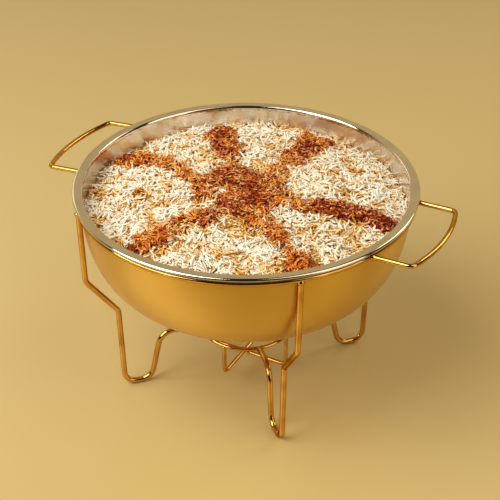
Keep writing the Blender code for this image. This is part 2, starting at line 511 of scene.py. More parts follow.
@dataclass(frozen=True)
class TurnedSteel:
    """Stainless steel: a bright rim, a painted shade under its bead, and a satin wall with lathe
    marks.
    """

    rim_radius: float
    rim_height: float
    bead: float
    colour: Colour = (0.80, 0.73, 0.62)
    dull: Colour = (0.70, 0.63, 0.53)
    wall: Colour = (0.91, 0.83, 0.73)
    # painted shade: the dark colour on the lower side of the bead
    under_bead_shade: Colour = (0.15, 0.11, 0.055)
    satin_depth: float = 0.0064
    bright_depth: float = 0.0044

    def material(self) -> bpy.types.Material:
        """Return the finish as a material."""
        paint = Paint("turned_steel", Metallic=1.0, Anisotropic=0.5, Anisotropic_Rotation=0.25)
        east, north, height = (paint.node("ShaderNodeSeparateXYZ", None, {0: paint.place},
                                          out=axis) for axis in "XYZ")
        rolled = ((east * east + north * north) ** 0.5).ease(
            self.rim_radius - 2 * self.bead, self.rim_radius - 1.8 * self.bead)
        # where the painted shade goes: the lower side of the bead, out at the rim's edge
        under_bead_shade = rolled * (1 - height.ease(self.rim_height - 1.2 * self.bead,
                                         self.rim_height - 0.9 * self.bead))
        satin = 1 - height.ease(self.rim_height - self.satin_depth,
                                self.rim_height - self.bright_depth)
        smears = paint.noise(30.0, 4.0)
        rim = paint.blend(smears.ease(0.3, 0.8), self.colour, self.dull)
        clean = paint.blend(satin, rim, self.wall)
        paint.feed(Base_Color=paint.blend(under_bead_shade, clean, self.under_bead_shade),
                   Roughness=0.07 + 0.04 * smears + satin * (0.16 + 0.10 * paint.lathe_marks()))
        return paint.material


@dataclass(frozen=True)
class CookedRice:
    """Cooked long-grain rice; each grain's own tone, with painted shade on its underside and a paler
    top, picks its place on the ramp.
    """

    name: str
    stops: tuple[tuple[float, Colour], ...]
    # how much each grain's underside is painted darker and its top paler: painted shade
    underside: float = 1.5

    def material(self) -> bpy.types.Material:
        """Return the finish as a material."""
        paint = Paint(self.name, Roughness=0.45, Specular_IOR_Level=0.25)
        tone = paint.tone_with_painted_shade(self.underside) * 0.85 + paint.noise(420.0, 2.0) * 0.22 - 0.03
        colour = paint.ramp(tone, self.stops)
        paint.feed(Base_Color=colour,
                   Normal=paint.bump(paint.noise(1500.0, 2.0), 0.00008, 0.5))
        return paint.material


@dataclass(frozen=True)
class ShadedPackedRice:
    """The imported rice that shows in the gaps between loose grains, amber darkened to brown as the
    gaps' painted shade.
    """

    def material(self) -> bpy.types.Material:
        """Return the finish as a material."""
        paint = Paint("packed_rice", Roughness=0.6)
        grain = paint.node("ShaderNodeTexVoronoi", None,
                           {"Vector": paint.place, "Scale": 420.0}, out="Distance")
        # painted shade: far darker than any grain, standing for the shade deep in the gaps
        colour = paint.ramp(paint.noise(110.0, 4.0),
                            [(0.3, (0.34, 0.11, 0.012)), (0.5, (0.62, 0.30, 0.06)),
                             (0.7, (0.82, 0.55, 0.22))])
        paint.feed(Base_Color=colour, Normal=paint.bump(grain, 0.0012))
        return paint.material


@dataclass(frozen=True)
class FriedOnion:
    """Fried onion shreds, from peach and orange to dark red brown, with a painted highlight along
    each shred's top and painted shade under it.
    """

    name: str
    stops: tuple[tuple[float, Colour], ...]
    # how much each shred's top is painted paler and its underside darker: painted highlight and
    # shade
    underside: float = 0.7

    def material(self) -> bpy.types.Material:
        """Return the finish as a material."""
        paint = Paint(self.name, Roughness=0.45, Specular_IOR_Level=0.12, Coat_Weight=0.25,
                      Coat_Roughness=0.12)
        blister = paint.noise(420.0, 3.0)
        tone = paint.tone_with_painted_shade(self.underside) * 0.75 + blister * 0.30 - 0.03
        paint.feed(Base_Color=paint.ramp(tone, self.stops),
                   Normal=paint.bump(blister, 0.0005))
        return paint.material


@dataclass(frozen=True)
class StudioFloor:
    """Plain pale floor."""

    colour: Colour = (0.665, 0.49, 0.195)
    pale: Colour = (0.685, 0.51, 0.21)

    def material(self) -> bpy.types.Material:
        """Return the finish as a material."""
        paint = Paint("studio_floor", Roughness=0.32, Specular_IOR_Level=1.0)
        paint.feed(Base_Color=paint.blend(paint.noise(3.0, 2.0), self.colour, self.pale))
        return paint.material


# ---------------------------------------------------------------- the bowl


@dataclass
class Bowl:
    """The spun bowl: a steel wall with flange and rolled bead, coated gold outside.

    The wall is a superellipse with the powers `across` and `down`. The flange's top is
    `dish` under the bead's, and `groove` gives points of the groove between them, as shares
    of the bead's radius inwards and depths under the rim. The lip rolls the flange down into
    the wall through `lip_end` degrees; the coat ends `coat_stop` under the flange.
    """

    wall_radius: float = 0.1726
    wall_top: float = 0.2349
    wall_depth: float = 0.1249
    across: float = 3.65
    down: float = 2.62
    thickness: float = 0.0031
    sheet: float = 0.0015
    coat: float = 0.00035
    bead: float = 0.0023
    lip: float = 0.0020
    lip_drop: float = 0.0038
    lip_run: float = 0.0012
    lip_steps: int = 14
    lip_end: float = 86.0
    fillet: float = 0.001
    dish: float = 0.00035
    groove: tuple[tuple[float, float], ...] = ((0.9, 0.0003), (1.5, 0.0004))
    coat_stop: float = 0.0011
    knots: int = 64
    sectors: int = 160
    rim_radius: float = field(init=False)
    rim_height: float = field(init=False)

    def __post_init__(self) -> None:
        """Read the rim from the frame."""
        _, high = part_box("bowl")
        self.rim_radius = high.y
        self.rim_height = high.z

    def wall(self) -> Profile:
        """Return the outside of the wall from its lowest point up."""
        profile = [(0.0, self.wall_top - self.wall_depth)]
        for knot in range(1, self.knots + 1):
            turn = math.pi / 2 * (1 - knot / self.knots)
            profile.append((self.wall_radius * math.cos(turn) ** (2 / self.across),
                            self.wall_top
                            - self.wall_depth * math.sin(turn) ** (2 / self.down)))
        return profile

    def inside_radius(self, z: np.ndarray) -> np.ndarray:
        """Return how far the inside of the wall is from the axis at each height."""
        depth = np.clip((self.wall_top - z) / self.wall_depth, 0.0, 0.999)
        outside = self.wall_radius * (1 - depth ** self.down) ** (1 / self.across)
        return outside - self.thickness

    def steel_profile(self) -> Profile:
        """Return the outline of the steel wall with its flange and bead."""
        skin = inward(self.wall(), self.coat)
        under = self.rim_height - self.sheet
        bead_r = self.rim_radius - self.bead
        bead_z = self.rim_height - self.bead
        outside_r = skin[-1][0]
        inner_r = self.wall_radius - self.thickness
        flange = arc((outside_r + self.fillet, under - self.fillet), self.fillet, 180, 90, 5)
        bead = arc((bead_r, bead_z), self.bead, 205, 450, 22)
        groove = [(bead_r - self.bead * share, self.rim_height - depth)
                  for share, depth in self.groove]
        top = self.rim_height - self.dish
        lip = [(inner_r + self.lip + self.lip_run, top)]
        for step in range(self.lip_steps + 1):
            turn = math.radians(self.lip_end) * step / self.lip_steps
            lip.append((inner_r + self.lip * (1 - math.sin(turn)),
                        top - self.lip_drop * (1 - math.cos(turn))))
        inside = [point for point in inward(self.wall(), self.thickness)[::-1]
                  if point[1] < lip[-1][1] - HAIR]
        return skin + flange + bead + groove + lip + inside

    def coat_profile(self) -> Profile:
        """Return the outline of the gold coat on the outside of the wall."""
        outer = self.wall() + [(self.wall_radius, self.rim_height - self.sheet - self.coat_stop)]
        inner = inward(self.wall(), self.coat * 0.9)
        return outer + [(inner[-1][0], outer[-1][1])] + inner[::-1]

    def build(self) -> None:
        """Make both skins of the bowl."""
        steel = TurnedSteel(self.rim_radius, self.rim_height, self.bead)
        for name, profile, finish, slot in (
                ("bowl_steel", self.steel_profile(), steel, Slot.BOWL_STEEL),
                ("bowl_gold_coat", self.coat_profile(), SatinGold(), Slot.BOWL_GOLD)):
            mesh = turned(profile, self.sectors)
            smooth(mesh)
            mesh.materials.append(finish.material())
            install(add_piece(name, mesh), ["bowl"])


# ---------------------------------------------------------------- the stand


@dataclass
class Weld:
    """A lump of weld metal where two wires meet."""

    place: Vector
    size: Vector3
    uneven: float = 0.18

    def add_to(self, bm: bmesh.types.BMesh, seed: int) -> None:
        """Add the lump to a mesh, a little uneven."""
        made = bmesh.ops.create_uvsphere(bm, u_segments=14, v_segments=9, radius=1.0)
        for vert in made["verts"]:
            wobble = 1 + self.uneven * noise.noise(vert.co * 1.7 + Vector((seed, 0, 0)))
            vert.co = self.place + Vector(a * b for a, b in zip(vert.co, self.size)) * wobble


class WireBender:
    """Bends and sweeps round wire with one Geometry Nodes tree."""

    SIDES = 20
    BEND_STEPS = 10
    CREASE = 60

    def __init__(self) -> None:
        """Build the tree: fillet the corners of a path, then sweep a round section."""
        self.finish = BrightGold().material()
        self.recipe = Recipe("bent_wire")
        diameter = self.recipe.ask("Diameter", "Float")
        sides = self.recipe.ask("Sides", "Int")
        steps = self.recipe.ask("Bend Steps", "Int")
        material = self.recipe.ask("Material", "Material")
        path = self.recipe.node("GeometryNodeMeshToCurve", None, {0: self.recipe.geometry})
        bent = self.recipe.node("GeometryNodeFilletCurve", {"mode": "POLY"},
                                {"Curve": path, "Count": steps,
                                 "Radius": self.recipe.own("bend")})
        section = self.recipe.node("GeometryNodeCurvePrimitiveCircle", {"mode": "RADIUS"},
                                   {"Resolution": sides, "Radius": diameter * 0.5})
        swept = self.recipe.node("GeometryNodeCurveToMesh", None,
                                 {"Curve": bent, "Profile Curve": section,
                                  "Fill Caps": True})
        self.recipe.serve(swept, material)

    def bend(self, name: str, corners: Sequence[Sequence[float]], bends: Sequence[float],
             diameter: float, welds: Sequence[Weld] = (), closed: bool = False) -> None:
        """Make one wire and put it in the place of the CAD node of the same name.

        Args:
            name: The CAD node; the piece is named after it.
            corners: The path's corners, in metres.
            bends: The bend radius at each corner, 0 for none.
            diameter: The wire's diameter.
            welds: Lumps to add at its joints.
            closed: Whether the path is a loop.
        """
        count = len(corners)
        edges = [(i, (i + 1) % count) for i in range(count if closed else count - 1)]
        path = new_mesh([tuple(corner) for corner in corners], (), edges)
        mark_points(path, bend=bends)
        piece = self.recipe.cook(name + "_wire", path, Diameter=diameter, Sides=self.SIDES,
                                 Bend_Steps=self.BEND_STEPS, Material=self.finish)
        bm = bmesh.new()
        bm.from_mesh(piece.data)
        for seed, weld in enumerate(welds):
            weld.add_to(bm, seed + len(name))
        for face in bm.faces:
            face.smooth = True
        bm.to_mesh(piece.data)
        bm.free()
        piece.data.set_sharp_from_angle(angle=math.radians(self.CREASE))
        install(piece, [name])


@dataclass
class Stand:
    """The wire stand: ring, handles, legs, burner ring and cradle.

    A leg's shoulder, elbow and crest are given as how far out and how high they are.
    """

    bender: WireBender
    ring_radius: float = 0.1763
    ring_wire: float = 0.0050
    handle_half: float = 0.057
    handle_corner: float = 0.2095
    handle_bow: float = 0.2192
    handle_bend: float = 0.007
    bar_bend: float = 0.02
    handle_weld: Vector3 = (0.0030, 0.0034, 0.0030)
    leg_wire: float = 0.0060
    leg_angles: tuple[float, ...] = (45, 135, 225, 315)
    shoulder: tuple[float, float] = (0.1752, 0.1459)
    elbow: tuple[float, float] = (0.1428, 0.1023)
    foot_outer: float = 0.1404
    foot_inner: float = 0.1107
    crest: tuple[float, float] = (0.0967, 0.0672)
    leg_bends: tuple[float, ...] = (0.0, 0.014, 0.009, 0.0133, 0.0150, 0.018, 0.0)
    leg_welds: tuple[Vector3, Vector3] = ((0.0040, 0.0040, 0.0032), (0.0033, 0.0033, 0.0030))
    straight: tuple[float, ...] = (0.0,) * 7
    bent_sideways: tuple[float, ...] = (0.0020, 0.0010, -0.0018, -0.0022, -0.0045, -0.0028, 0.0)
    burner_radius: float = 0.0496
    burner_wire: float = 0.0042
    cradle_radius: float = 0.0500
    cradle_wire: float = 0.0044
    cradle_bend: float = 0.006
    cradle_weld: Vector3 = (0.0027, 0.0027, 0.0020)
    loop_points: int = 144
    ring_height: float = field(init=False)
    burner_height: float = field(init=False)

    def __post_init__(self) -> None:
        """Read the heights from the frame."""
        low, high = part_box("stand_ring")
        self.ring_height = (low.z + high.z) / 2
        low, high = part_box("burner_ring")
        self.burner_height = (low.z + high.z) / 2

    def loop(self, name: str, radius: float, height: float, wire: float) -> None:
        """Make a level ring."""
        corners = ring(radius, height, self.loop_points)
        self.bender.bend(name, corners, [0.0] * len(corners), wire, closed=True)

    def handle(self, name: str, side: int) -> None:
        """Make a handle: two runs out from the ring and a bowed bar between them."""
        low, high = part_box(name)
        outer = high.z if side > 0 else low.z + self.ring_wire
        climb = outer - self.ring_wire / 2 - self.ring_height
        root = math.sqrt(self.ring_radius ** 2 - self.handle_half ** 2) + self.ring_wire / 2
        bow = self.handle_bow - self.handle_corner
        radius = (self.handle_half ** 2 + bow ** 2) / (2 * bow)
        spread = math.degrees(math.asin(self.handle_half / radius))
        bar = arc((self.handle_bow - radius, 0.0), radius, -spread, spread, 10)
        plan = [(root, -self.handle_half), *bar, (root, self.handle_half)]
        corners = [(side * x, y, self.ring_height
                    + climb * (x - root) / (self.handle_bow - root)) for x, y in plan]
        bends = [0.0, self.handle_bend, *[self.bar_bend] * (len(bar) - 2),
                 self.handle_bend, 0.0]
        welds = [Weld(Vector(corners[end]), self.handle_weld) for end in (0, -1)]
        self.bender.bend(name, corners, bends, self.ring_wire, welds)

    def leg(self, name: str, angle: float, sways: Sequence[float]) -> None:
        """Make a leg: down from the ring, round a foot and back up to the burner ring.

        Args:
            name: The CAD node.
            angle: Where it stands round the bowl, in degrees.
            sways: How far each corner is bent sideways.
        """
        low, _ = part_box(name)
        top = self.ring_height - self.ring_wire / 2
        foot = low.z + self.leg_wire / 2
        profile = [(self.ring_radius, top), self.shoulder, self.elbow,
                   (self.foot_outer, foot), (self.foot_inner, foot), self.crest,
                   (self.burner_radius + self.burner_wire / 2, self.burner_height)]
        out = Vector((math.cos(math.radians(angle)), math.sin(math.radians(angle)), 0))
        across = Vector((-out.y, out.x, 0))
        corners = [out * r + across * sway + Vector((0, 0, z))
                   for (r, z), sway in zip(profile, sways)]
        welds = [Weld(corners[0] - Vector((0, 0, HAIR)), self.leg_welds[0]),
                 Weld(corners[-1], self.leg_welds[1])]
        self.bender.bend(name, corners, self.leg_bends, self.leg_wire, welds)

    def cradle(self, name: str, along_x: bool) -> None:
        """Make one of the crossed wires under the burner ring."""
        low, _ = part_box(name)
        lowest = low.z + self.cradle_wire / 2
        top = self.burner_height - self.burner_wire / 2
        profile = [(-self.cradle_radius, top), (-self.cradle_radius, lowest),
                   (self.cradle_radius, lowest), (self.cradle_radius, top)]
        corners = [Vector((s, 0, z)) if along_x else Vector((0, s, z)) for s, z in profile]
        welds = [Weld(corners[end], self.cradle_weld) for end in (0, -1)]
        self.bender.bend(name, corners, [0.0, self.cradle_bend, self.cradle_bend, 0.0],
                         self.cradle_wire, welds)

    def build(self) -> None:
        """Make every wire."""
        self.loop("stand_ring", self.ring_radius, self.ring_height, self.ring_wire)
        self.loop("burner_ring", self.burner_radius, self.burner_height, self.burner_wire)
        self.handle("handle_right", 1)
        self.handle("handle_left", -1)
        for number, angle in enumerate(self.leg_angles, 1):
            last = number == len(self.leg_angles)
            self.leg(f"leg_{number}", angle, self.bent_sideways if last else self.straight)
        self.cradle("cradle_lower", True)
        self.cradle("cradle_upper", False)


# ---------------------------------------------------------------- the star of onions


@dataclass(frozen=True)
class Heap:
    """A heap of onions along a line: points and half width in mm, how deep, how dark."""

    CROWN = 1.3                 # over 1, so that the middle of the heap is flat

    path: tuple[tuple[float, float], ...]
    half_width: float
    depth: float
    roast: float

    def cover(self, x: np.ndarray, y: np.ndarray, grow: float) -> np.ndarray:
        """Return how thick the heap lies at each place, in mm, from 0 to 1.

        Args:
            x: How far along X each place is.
            y: How far along Y each place is.
            grow: How much further than its own edge the heap reaches.

        Returns:
            The cover at each place.
        """
        nearest = np.full(np.shape(x), 1e9)
        for (ax, ay), (bx, by) in zip(self.path, self.path[1:]):
            run = (bx - ax) ** 2 + (by - ay) ** 2
            along = np.clip(((x - ax) * (bx - ax) + (y - ay) * (by - ay)) / run, 0, 1)
            nearest = np.minimum(nearest, np.hypot(x - ax - along * (bx - ax),
                                                   y - ay - along * (by - ay)))
        fall = (nearest / (self.half_width + grow)) ** 2
        return self.depth * np.clip(self.CROWN - self.CROWN * fall, 0, 1)


@dataclass(frozen=True)
class Star:
    """Where the fried onions lie: a middle and six arms, each of a few heaps.

    Their edges are moved up to about `ragged` by waves as wide as `bays` and `frays`, in
    millimetres.
    """

    ragged: float = 7.5
    bays: float = 15.0
    frays: float = 6.0
    heaps: tuple[Heap, ...] = (
        Heap(((-22, 11), (2, 3), (18, -17)), 25, 1.0, 0.7),
        Heap(((20, 17), (32, -11)), 17, 0.8, 0.6),
        Heap(((-2, -35), (12, -45)), 14, 0.8, 0.8),
        Heap(((-36, -11), (-26, -35)), 9, 0.5, 0.6),
        Heap(((42, -9), (64, -9), (84, -3)), 10, 0.45, 0.4),
        Heap(((88, 1), (114, 9), (138, 15), (158, 15)), 13, 1.0, 0.85),
        Heap(((8, 33), (12, 59), (15, 77)), 9, 0.3, 0.2),
        Heap(((16, 77), (17, 101), (24, 131)), 16, 0.95, 0.6),
        Heap(((0, 125), (-3, 151)), 8, 0.5, 0.3),
        Heap(((-26, 27), (-44, 43)), 10, 0.4, 0.5),
        Heap(((-52, 53), (-71, 77), (-87, 97)), 16, 0.95, 0.6),
        Heap(((-36, -11), (-58, -13), (-80, -5)), 11, 0.6, 0.4),
        Heap(((-94, 1), (-118, 5), (-154, -1)), 15, 0.85, 0.45),
        Heap(((-48, -21), (-34, -39)), 8, 0.5, 0.5),
        Heap(((2, -53), (0, -75)), 10, 0.85, 0.75),
        Heap(((-10, -73), (-26, -89)), 11, 0.7, 0.5),
        Heap(((-28, -109), (-40, -129)), 14, 0.8, 0.4),
        Heap(((-48, -145), (-54, -155)), 9, 0.7, 0.65),
        Heap(((32, -37), (50, -57)), 12, 0.7, 0.5),
        Heap(((62, -59), (82, -71)), 12, 0.6, 0.45),
        Heap(((100, -85), (116, -101)), 13, 0.75, 0.55),
    )

    def cover(self, x: np.ndarray, y: np.ndarray, grow: float = 0.0) -> np.ndarray:
        """Return how thick the onions lie at each place in metres, from 0 to 1."""
        return np.max(self._covers(x, y, grow), axis=0)

    def roast(self, x: np.ndarray, y: np.ndarray) -> np.ndarray:
        """Return how dark the onions are fried at each place in metres, from 0 to 1."""
        covers = self._covers(x, y, 0.0) + 0.01
        weights = covers ** 3
        shades = np.array([heap.roast for heap in self.heaps])
        return np.tensordot(shades, weights, axes=1) / np.sum(weights, axis=0)

    def _covers(self, x: np.ndarray, y: np.ndarray, grow: float) -> np.ndarray:
        """Return each heap's own cover, one layer per heap, with ragged edges."""
        east, north = x / MILLI, y / MILLI
        flat = [Vector((a, b, 0)) for a, b in zip(np.ravel(east), np.ravel(north))]
        shift = np.array([[noise.noise(place / self.bays + Vector((0, 0, layer)))
                           + 0.5 * noise.noise(place / self.frays + Vector((0, 0, layer + 5)))
                           for layer in (0, 9)] for place in flat]) * self.ragged
        east = east + shift[:, 0].reshape(np.shape(east))
        north = north + shift[:, 1].reshape(np.shape(north))
        return np.array([heap.cover(east, north, grow) for heap in self.heaps])


# ---------------------------------------------------------------- the rice


@dataclass
class RiceBed:
    """The shape of the heap: a low dome with the lumps that packed grains make.

    Each of `lump_kinds` gives how high and how wide its lumps are, and its noise's layer.
    """

    bowl: Bowl
    rise: float = 0.0190
    power: float = 4.0
    wave: float = 0.0009
    waves: int = 3
    lump_kinds: tuple[Vector3, ...] = ((0.0034, 0.022, 0.3), (0.0021, 0.009, 1.7))
    peak: float = field(init=False)

    def __post_init__(self) -> None:
        """Read the dome's height from the frame."""
        _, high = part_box("rice")
        self.peak = high.z

    def dome(self, x: np.ndarray, y: np.ndarray) -> np.ndarray:
        """Return the smooth height of the rice, as the CAD solid has it."""
        reach = np.hypot(x, y) / (self.bowl.wall_radius - self.bowl.thickness)
        wave = self.wave * np.cos(self.waves * np.arctan2(y, x)) * reach ** 2
        return self.peak - self.rise * reach ** self.power + wave

    def lumps(self, x: float, y: float) -> float:
        """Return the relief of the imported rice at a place."""
        return sum(height * noise.noise(Vector((x, y, layer)) / width)
                   for height, width, layer in self.lump_kinds)


# The bedded grains' ramp is warmer and darker than the loose grains': partly oil, partly painted
# shade for the lower layer.
CREAM_AND_SHADE_STOPS = ((0.0, (0.58, 0.22, 0.03)), (0.3, (0.86, 0.53, 0.17)),
               (0.6, (0.96, 0.82, 0.52)), (1.0, (0.99, 0.95, 0.80)))
WHITE_STOPS = ((0.0, (0.76, 0.38, 0.08)), (0.25, (0.93, 0.73, 0.36)),
               (0.5, (0.98, 0.92, 0.73)), (1.0, (1.0, 0.975, 0.89)))
TINTED_STOPS = ((0.0, (0.40, 0.10, 0.008)), (0.3, (0.68, 0.27, 0.035)),
                (0.6, (0.88, 0.50, 0.12)), (1.0, (0.95, 0.76, 0.38)))


ANY_TINT = 9.0                  # further than any tint goes


@dataclass(frozen=True)
class GrainLayer:
    """A layer of loose grains: how many, how they lie, and the tint that parts its two kinds."""

    name: str
    density: float
    seed: int
    tilt: float
    lift: float
    parting: float
    pale: tuple[tuple[float, Colour], ...]


class Draw(IntEnum):
    """What each random draw is for: what it adds to the seed."""

    YAW = 2
    PITCH = 3
    ROLL = 4
    HEIGHT = 5
    SIZE = 6
    STEEPNESS = 7
    SHAPE = 8
    TONE = 9
    TINT = 11


class Scatter:
    """Scatters bent slivers over a surface with one Geometry Nodes tree."""

    INPUTS = {"Float": ("Density", "Tint Low", "Tint High", "Tilt", "Lift", "Flow", "Size Low",
                        "Size High", "Tone Spread", "Tone Blotch", "Tone Rise", "Patchiness"),
              "Int": ("Seed",), "Collection": ("Shapes",), "Material": ("Material",)}
    PATCHES = 50.0              # waves of tint per metre
    CURRENTS = 55.0             # waves of direction per metre
    BLOTCHES = 60.0             # waves of tone per metre
    TINTS = (0.1, 0.6)
    STEEPNESS = (0.2, 2.0)
    ROLL = 0.6
    LAST_PICK = 63              # shapes are counted round as often as needed

    def __init__(self, name: str) -> None:
        """Build the tree: points on faces, kept by tint and cover, with a sliver on each."""
        recipe = self.recipe = Recipe(name)
        self.asked = {key: recipe.ask(key, kind) for kind, keys in self.INPUTS.items()
                      for key in keys}
        self.place = recipe.node("GeometryNodeInputPosition")
        up = recipe.own("up", "FLOAT_VECTOR")
        rise = recipe.node("ShaderNodeVectorMath", {"operation": "SCALE"},
                           {0: up, "Scale": self._draw(0.0, 1.0, Draw.HEIGHT) * self.asked["Lift"]})
        raised = recipe.node("GeometryNodeSetPosition", None,
                             {"Geometry": self._points(), "Offset": rise})
        shape = recipe.node("GeometryNodeCollectionInfo", None,
                            {"Collection": self.asked["Shapes"], "Separate Children": True,
                             "Reset Children": True})
        pick = recipe.node("FunctionNodeRandomValue", {"data_type": "INT"},
                           {"Min": 0, "Max": self.LAST_PICK, "Seed": self._seed(Draw.SHAPE)})
        size = self._draw(self.asked["Size Low"], self.asked["Size High"], Draw.SIZE)
        placed = recipe.node("GeometryNodeInstanceOnPoints", None,
                             {"Points": raised, "Instance": shape, "Pick Instance": True,
                              "Instance Index": pick, "Rotation": self._turn(up), "Scale": size})
        toned = recipe.mark(placed, "tone", self._tone(), domain="INSTANCE")
        recipe.serve(toned, self.asked["Material"])

    def _seed(self, draw: Draw) -> Val:
        """Return the seed of one draw."""
        return self.asked["Seed"] + draw.value

    def _draw(self, low: Val | float, high: Val | float, draw: Draw) -> Val:
        """Return a random number for each sliver."""
        return self.recipe.random(low, high, self._seed(draw))

    def _drift(self, waves: float, detail: float = 2.0) -> Val:
        """Return a noise over the surface, of so many waves per metre."""
        return self.recipe.node("ShaderNodeTexNoise", None,
                                {"Vector": self.place, "Scale": waves, "Detail": detail})

    def _points(self) -> Val:
        """Return points on the faces that know their tint and normal, less the wrong tints."""
        recipe, asked = self.recipe, self.asked
        spread = recipe.node("GeometryNodeDistributePointsOnFaces",
                             {"distribute_method": "RANDOM"},
                             {"Mesh": recipe.geometry, "Seed": asked["Seed"],
                              "Density": asked["Density"] * recipe.own("spread")})
        normal = Val(recipe, recipe.find(spread.socket.node.outputs, "Normal"))
        tint = ((self._drift(self.PATCHES) - 0.5) * asked["Patchiness"]
                + self._draw(*self.TINTS, Draw.TINT) + recipe.own("tint_bias"))
        marked = recipe.mark(recipe.mark(spread, "tint", tint), "up", normal, "FLOAT_VECTOR")
        wrong = (recipe.own("tint").below(asked["Tint Low"])
                 + recipe.own("tint").above(asked["Tint High"]))
        return recipe.node("GeometryNodeDeleteGeometry", {"domain": "POINT"},
                           {"Geometry": marked, "Selection": wrong.above(0.5)})

    def _turn(self, up: Val) -> Val:
        """Return each sliver's turn: along a drifting current, tilted and rolled."""
        recipe, flow = self.recipe, self.asked["Flow"]
        yaw = (self._drift(self.CURRENTS, 1.0) * flow * math.tau * 2
               + self._draw(0.0, math.tau, Draw.YAW) * (1 - flow))
        pitch = (self._draw(-1.0, 1.0, Draw.PITCH) * self._draw(*self.STEEPNESS, Draw.STEEPNESS)
                 * self.asked["Tilt"])
        spin = recipe.node("ShaderNodeCombineXYZ", None,
                           {0: self._draw(-self.ROLL, self.ROLL, Draw.ROLL), 1: pitch, 2: yaw})
        stood = recipe.node("FunctionNodeAlignRotationToVector", {"axis": "Z"}, {"Vector": up})
        return recipe.node("FunctionNodeRotateRotation", {"rotation_space": "LOCAL"},
                           {0: stood, 1: recipe.node("FunctionNodeEulerToRotation", None,
                                                     {0: spin})})

    def _tone(self) -> Val:
        """Return each sliver's tone, which changes from blotch to blotch and with its height, a
        painted shade that tones slivers by how high they are lifted.
        """
        asked = self.asked
        return ((self._draw(0.0, 1.0, Draw.TONE) - 0.5) * asked["Tone Spread"]
                + (self._drift(self.BLOTCHES) - 0.5) * asked["Tone Blotch"]
                + self.recipe.own("tone_bias")
                # painted shade: a sliver's tone follows how high it is lifted
                + (self._draw(0.0, 1.0, Draw.HEIGHT) - 0.5) * asked["Tone Rise"])


def sliver(path: Sequence[Vector], widths: Sequence[float], heights: Sequence[float],
           sides: int) -> bpy.types.Mesh:
    """Return a closed thin body along a path, pointed at both ends.

    Its attribute "belly" says how far each point is to the underside, from 0 to 1.

    Args:
        path: The points of its middle line; the first and last are its tips.
        widths: Its half width at each point between the tips.
        heights: Its half height at each point between the tips.
        sides: How many sides its section has.

    Returns:
        The mesh.
    """
    verts = [path[0]]
    belly = [0.5]
    for i in range(1, len(path) - 1):
        run = (path[i + 1] - path[i - 1]).normalized()
        side = run.cross(Vector((0, 0, 1))).normalized()
        lift = side.cross(run)
        for k in range(sides):
            turn = math.tau * (k + 0.5) / sides
            verts.append(path[i] + side * widths[i - 1] * math.cos(turn)
                         + lift * heights[i - 1] * math.sin(turn))
            belly.append(0.5 - 0.5 * math.sin(turn))
    verts.append(path[-1])
    belly.append(0.5)
    mesh = new_mesh([tuple(vert) for vert in verts],
                    skin(sides, len(path) - 2, inside_out=True))
    mark_points(mesh, belly=belly)
    return mesh


